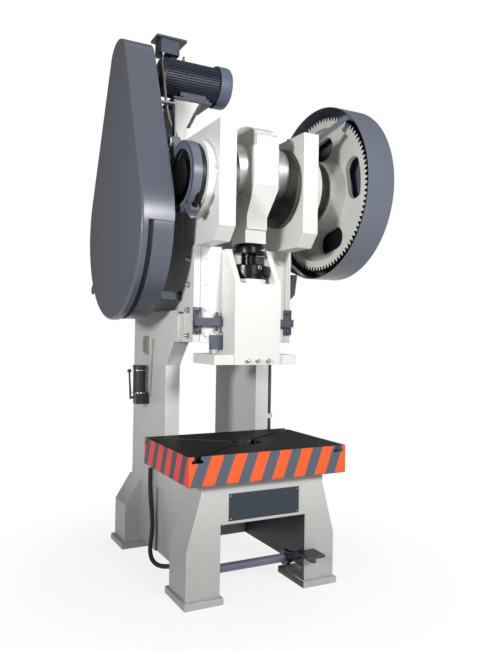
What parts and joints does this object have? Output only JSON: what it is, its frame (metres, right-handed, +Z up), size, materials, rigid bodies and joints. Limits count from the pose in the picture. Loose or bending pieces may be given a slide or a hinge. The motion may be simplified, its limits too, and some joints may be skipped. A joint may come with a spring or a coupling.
{
  "type": "mechanical stamping press",
  "caption": "Open-front geared stamping press with a table between two side frames, a guided ram on a crank, a band brake, a belt-driven flywheel and a foot pedal.",
  "frame": {"origin": "on the floor, in the middle of the four foundation bolts", "axes": "+X to the right as the operator faces the machine, +Y to its back, +Z up; the table and the ram face the front at -Y"},
  "size_m": [1.345, 1.6219, 3.344],
  "materials": {
    "frame_paint": "semi-gloss enamel over filled castings and plate",
    "guard_paint": "satin enamel on folded sheet",
    "motor_paint": "gloss enamel",
    "sign_paint": "gloss enamel, blank",
    "table_iron": "ground top, painted sides with hazard stripes",
    "machined_iron": "machined, lightly oiled",
    "bright_steel": "ground",
    "black_steel": "blackened",
    "gear_steel": "cut teeth, lightly oiled",
    "bronze": "turned",
    "belt_rubber": "matt",
    "hose_rubber": "matt"
  },
  "bodies": {
    "machine_frame": {"back_shaft_bushes": "bronze", "bed_plate": "frame_paint", "belt_guard": "guard_paint", "bolster_table": "table_iron", "brake_band": "guard_paint", "brake_fixings": "bright_steel", "eye_bolt": "bright_steel", "fan_cowl": "motor_paint", "front_legs": "frame_paint", "gear_guard": "guard_paint", "gear_guard_stays": "guard_paint", "gib_bolts": "frame_paint", "gib_side_screws": "bright_steel", "guard_stays": "guard_paint", "head_cross_plate": "frame_paint", "hose": "hose_rubber", "hose_glands": "bright_steel", "knockout_stops": "guard_paint", "latch_pin": "bright_steel", "left_gib": "frame_paint", "left_side_frame": "frame_paint", "lower_cross_wall": "frame_paint", "lube_pump": "black_steel", "main_bushes": "machined_iron", "motor_body": "motor_paint", "motor_conduit": "hose_rubber", "motor_pedestal": "frame_paint", "oil_distributor": "black_steel", "pedestal_strut": "frame_paint", "rear_cross_plate": "frame_paint", "right_gib": "frame_paint", "right_side_frame": "frame_paint", "sign_plate": "sign_paint", "terminal_box": "motor_paint", "v_belts": "belt_rubber"},
    "gear": {"bull_gear": "gear_steel"},
    "flywheel_shaft": {"back_shaft": "bright_steel", "pinion": "gear_steel", "flywheel": "guard_paint"},
    "motor_rotor": {"motor_shaft": "bright_steel", "motor_pulley": "machined_iron"},
    "crank": {"crankshaft": "bright_steel", "brake_drum": "machined_iron", "clutch_hub": "machined_iron"},
    "rod": {"connecting_rod": "frame_paint", "rod_cap": "frame_paint", "rod_cap_screws": "black_steel", "rod_bush": "machined_iron", "crank_pin": "bright_steel", "lock_nut": "black_steel"},
    "ram_slide": {"ram": "frame_paint", "ball_cap": "black_steel", "shank_clamp_screws": "bright_steel"},
    "height_screw": {"adjusting_screw": "black_steel"},
    "knockout": {"knockout_bar": "guard_paint"},
    "pedal": {"pedal_shaft": "guard_paint", "foot_pedal": "black_steel"},
    "trip_rod": {"push_rod": "black_steel"},
    "latch": {"clutch_latch": "black_steel"},
    "pump_handle": {"pump_lever": "black_steel"}
  },
  "joints": [
    {"name": "gear_spin", "type": "hinge", "parent": "machine_frame", "child": "gear", "pos_m": [0.565, -0.42, 2.36], "axis": [1, 0, 0], "continuous": true},
    {"name": "flywheel_spin", "type": "hinge", "parent": "machine_frame", "child": "flywheel_shaft", "pos_m": [0, 0.09684, 2.108], "axis": [1, 0, 0], "continuous": true},
    {"name": "motor_spin", "type": "hinge", "parent": "machine_frame", "child": "motor_rotor", "pos_m": [0, 0.065, 3.11], "axis": [1, 0, 0], "continuous": true},
    {"name": "crank_turn", "type": "hinge", "parent": "machine_frame", "child": "crank", "pos_m": [0, -0.42, 2.36], "axis": [1, 0, 0], "range_deg": [0, 180]},
    {"name": "rod_slide", "type": "slide", "parent": "machine_frame", "child": "rod", "axis": [0, 0, 1], "range_m": [-0.1701, 0]},
    {"name": "shut_height", "type": "slide", "parent": "rod", "child": "ram_slide", "axis": [0, 0, 1], "range_m": [-0.05, 0]},
    {"name": "screw_turn", "type": "hinge", "parent": "ram_slide", "child": "height_screw", "pos_m": [0, -0.42, 1.815], "axis": [0, 0, 1], "range_deg": [-1801, 0]},
    {"name": "knockout_lift", "type": "slide", "parent": "ram_slide", "child": "knockout", "axis": [0, 0, 1], "range_m": [0, 0.018]},
    {"name": "pedal_press", "type": "hinge", "parent": "machine_frame", "child": "pedal", "pos_m": [0, -0.485, 0.122], "axis": [1, 0, 0], "range_deg": [0, 6], "stiffness_Nm_per_rad": 150, "springref_deg": -34.38},
    {"name": "push_rod_lift", "type": "slide", "parent": "machine_frame", "child": "trip_rod", "axis": [0, 0, 1], "range_m": [0, 0.049]},
    {"name": "latch_swing", "type": "hinge", "parent": "machine_frame", "child": "latch", "pos_m": [0.403, -0.24, 1.785], "axis": [1, 0, 0], "range_deg": [0, 13.5]},
    {"name": "pump_lever_swing", "type": "hinge", "parent": "machine_frame", "child": "pump_handle", "pos_m": [-0.476, 0.35, 1.03], "axis": [1, 0, 0], "range_deg": [-34, 0]}
  ],
  "couplings": [
    {"joint": "flywheel_spin", "follows": "gear_spin", "ratio": -4.4762},
    {"joint": "motor_spin", "follows": "gear_spin", "ratio": -28.367},
    {"joint": "rod_slide", "follows": "crank_turn", "m_per_rad": -0.054113},
    {"joint": "screw_turn", "follows": "shut_height", "rad_per_m": 628.32},
    {"joint": "push_rod_lift", "follows": "pedal_press", "m_per_rad": 0.463},
    {"joint": "latch_swing", "follows": "pedal_press", "ratio": 2.2421}
  ]
}
